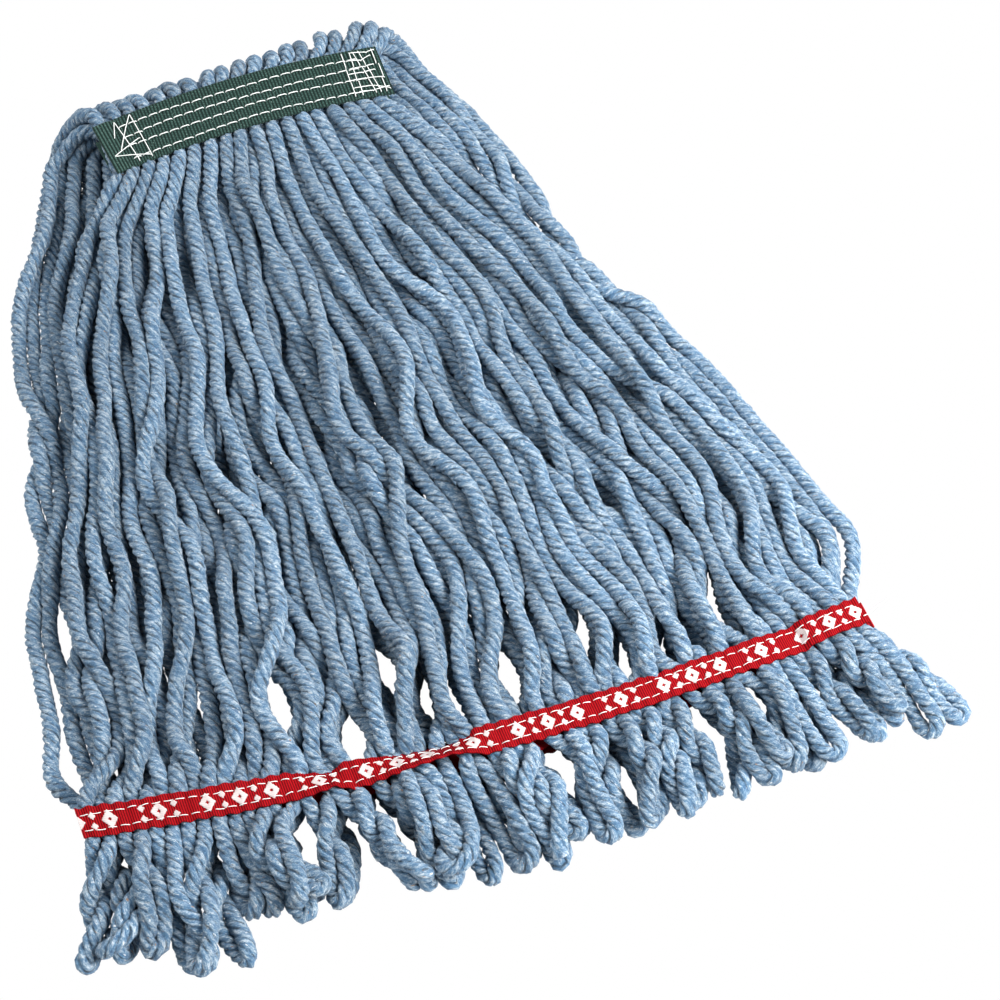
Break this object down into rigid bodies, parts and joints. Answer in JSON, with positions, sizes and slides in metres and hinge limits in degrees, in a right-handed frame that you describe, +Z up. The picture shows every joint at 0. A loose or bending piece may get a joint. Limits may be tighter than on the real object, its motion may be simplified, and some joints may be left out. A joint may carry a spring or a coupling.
{
  "type": "string mop",
  "caption": "Looped-end string mop head: yarn folded at a sewn webbing headband, with a woven tail tape across each half.",
  "frame": {"origin": "middle of the footprint, on the floor that the mop lies on", "axes": "+X along the headband, -Y from the headband towards the tail, +Z up; the front half lies on the back half"},
  "size_m": [0.3836, 0.4842, 0.0402],
  "materials": {
    "yarn": "matt four-ply twisted cotton-blend yarn, heathered light blue",
    "green_webbing": "dark green plain-woven webbing",
    "red_webbing": "red woven tape with a cream woven-in motif",
    "thread": "off-white sewing thread"
  },
  "bodies": {
    "headband": {"headband_outer_tape": "green_webbing", "headband_inner_tape": "green_webbing", "headband_yarn_core": "yarn", "headband_stitch_row_1": "thread", "headband_stitch_row_2": "thread", "headband_stitch_row_3": "thread", "headband_stitch_row_4": "thread", "headband_bartack_left": "thread", "headband_bartack_right": "thread"},
    "front_skirt": {"front_strand_bundle_01": "yarn", "front_strand_bundle_02": "yarn", "front_strand_bundle_03": "yarn", "front_strand_bundle_04": "yarn", "front_strand_bundle_05": "yarn", "front_strand_bundle_06": "yarn", "front_strand_bundle_07": "yarn", "front_strand_bundle_08": "yarn", "front_strand_bundle_09": "yarn", "front_strand_bundle_10": "yarn", "front_strand_bundle_11": "yarn", "front_strand_bundle_12": "yarn", "front_tail_tape_outer": "red_webbing", "front_tail_tape_inner": "red_webbing", "front_tail_stitch_row_upper": "thread", "front_tail_stitch_row_lower": "thread"},
    "front_fringe": {"front_loop_bundle_01": "yarn", "front_loop_bundle_02": "yarn", "front_loop_bundle_03": "yarn", "front_loop_bundle_04": "yarn", "front_loop_bundle_05": "yarn", "front_loop_bundle_06": "yarn", "front_loop_bundle_07": "yarn", "front_loop_bundle_08": "yarn"},
    "back_skirt": {"back_strand_bundle_01": "yarn", "back_strand_bundle_02": "yarn", "back_strand_bundle_03": "yarn", "back_strand_bundle_04": "yarn", "back_strand_bundle_05": "yarn", "back_strand_bundle_06": "yarn", "back_strand_bundle_07": "yarn", "back_strand_bundle_08": "yarn", "back_strand_bundle_09": "yarn", "back_strand_bundle_10": "yarn", "back_strand_bundle_11": "yarn", "back_strand_bundle_12": "yarn", "back_tail_tape_outer": "red_webbing", "back_tail_tape_inner": "red_webbing", "back_tail_stitch_row_upper": "thread", "back_tail_stitch_row_lower": "thread"},
    "back_fringe": {"back_loop_bundle_01": "yarn", "back_loop_bundle_02": "yarn", "back_loop_bundle_03": "yarn", "back_loop_bundle_04": "yarn", "back_loop_bundle_05": "yarn", "back_loop_bundle_06": "yarn", "back_loop_bundle_07": "yarn", "back_loop_bundle_08": "yarn"}
  },
  "joints": [
    {"name": "front_swing", "type": "hinge", "parent": "headband", "child": "front_skirt", "pos_m": [0.003, 0.18407, 0.0332], "axis": [-1, 0, 0], "range_deg": [0, 135]},
    {"name": "front_fringe_bend", "type": "hinge", "parent": "front_skirt", "child": "front_fringe", "pos_m": [-0.008, -0.16313, 0.0232], "axis": [-0.9958, 0.0918, 0], "range_deg": [0, 110]},
    {"name": "back_swing", "type": "hinge", "parent": "headband", "child": "back_skirt", "pos_m": [0.003, 0.24237, 0.018], "axis": [1, 0, 0], "range_deg": [0, 178]},
    {"name": "back_fringe_bend", "type": "hinge", "parent": "back_skirt", "child": "back_fringe", "pos_m": [-0.0045, -0.16163, 0.0004], "axis": [0.9961, -0.088, 0], "range_deg": [0, 110]}
  ]
}
